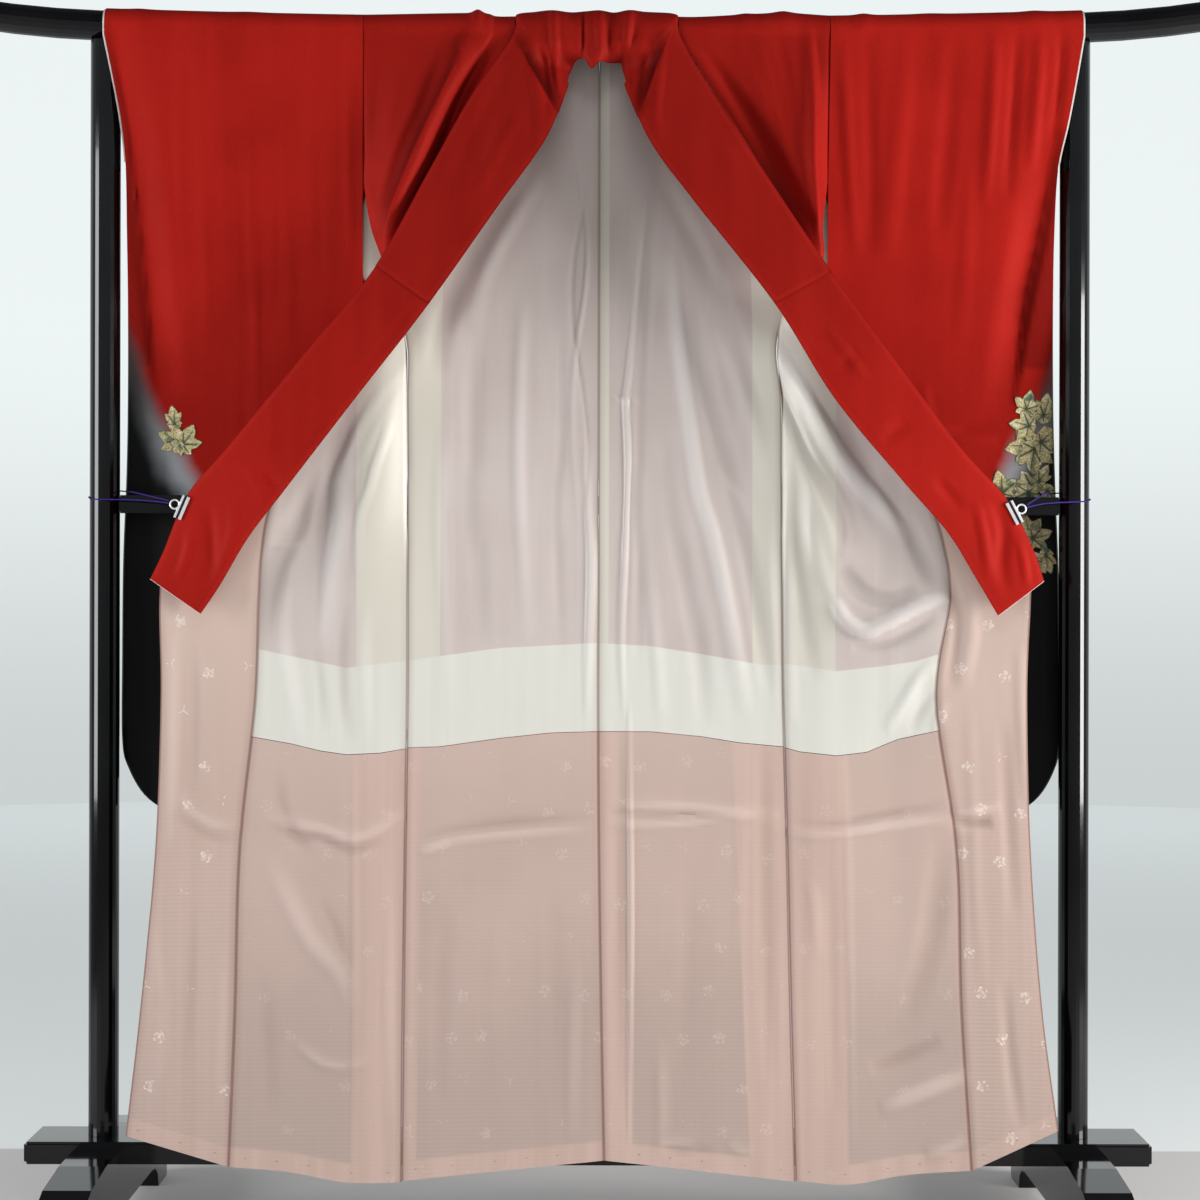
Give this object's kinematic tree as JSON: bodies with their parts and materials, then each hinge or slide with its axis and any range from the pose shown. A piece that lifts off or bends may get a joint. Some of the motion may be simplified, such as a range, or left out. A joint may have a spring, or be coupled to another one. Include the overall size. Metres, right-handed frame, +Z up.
{
  "type": "furisode kimono on kimono stand",
  "caption": "Long-sleeved silk kimono hung open over the bar of a free-standing black lacquer stand, its lining facing forward, two spring clips holding the collar ends wide.",
  "frame": {"origin": "on the floor under the middle of the stand", "axes": "+Z up, -Y towards the opened front of the garment, +X to the right as seen from the front"},
  "size_m": [1.68, 0.6, 1.6413],
  "materials": {
    "black_lacquer": "high gloss black lacquer",
    "clip_steel": "bright plated steel",
    "indigo_elastic": "round braided elastic",
    "red_silk": "crepe silk, red shading to black towards the hems, with gilt leaves",
    "cream_lining": "smooth plain-weave silk, satin sheen",
    "pink_lining": "figured silk, soft sheen"
  },
  "bodies": {
    "root": {"top_bar": "black_lacquer", "base_board": "black_lacquer", "mid_rail": "black_lacquer", "post_left": "black_lacquer", "post_right": "black_lacquer", "foot_left": "black_lacquer", "foot_right": "black_lacquer", "body_left": "red_silk", "body_right": "red_silk", "okumi_left": "red_silk", "okumi_right": "red_silk", "sleeve_left": "red_silk", "sleeve_right": "red_silk", "collar": "red_silk", "collar_cover": "red_silk", "back_lining_left": "cream_lining", "back_lining_right": "cream_lining", "front_lining_left": "cream_lining", "front_lining_right": "cream_lining", "sleeve_lining_left": "cream_lining", "sleeve_lining_right": "cream_lining", "back_hakkake_left": "pink_lining", "back_hakkake_right": "pink_lining", "front_hakkake_left": "pink_lining", "front_hakkake_right": "pink_lining", "okumi_hakkake_left": "pink_lining", "okumi_hakkake_right": "pink_lining", "clip_left": "clip_steel", "clip_right": "clip_steel", "clip_cord_left": "indigo_elastic", "clip_cord_right": "indigo_elastic"}
  },
  "joints": []
}
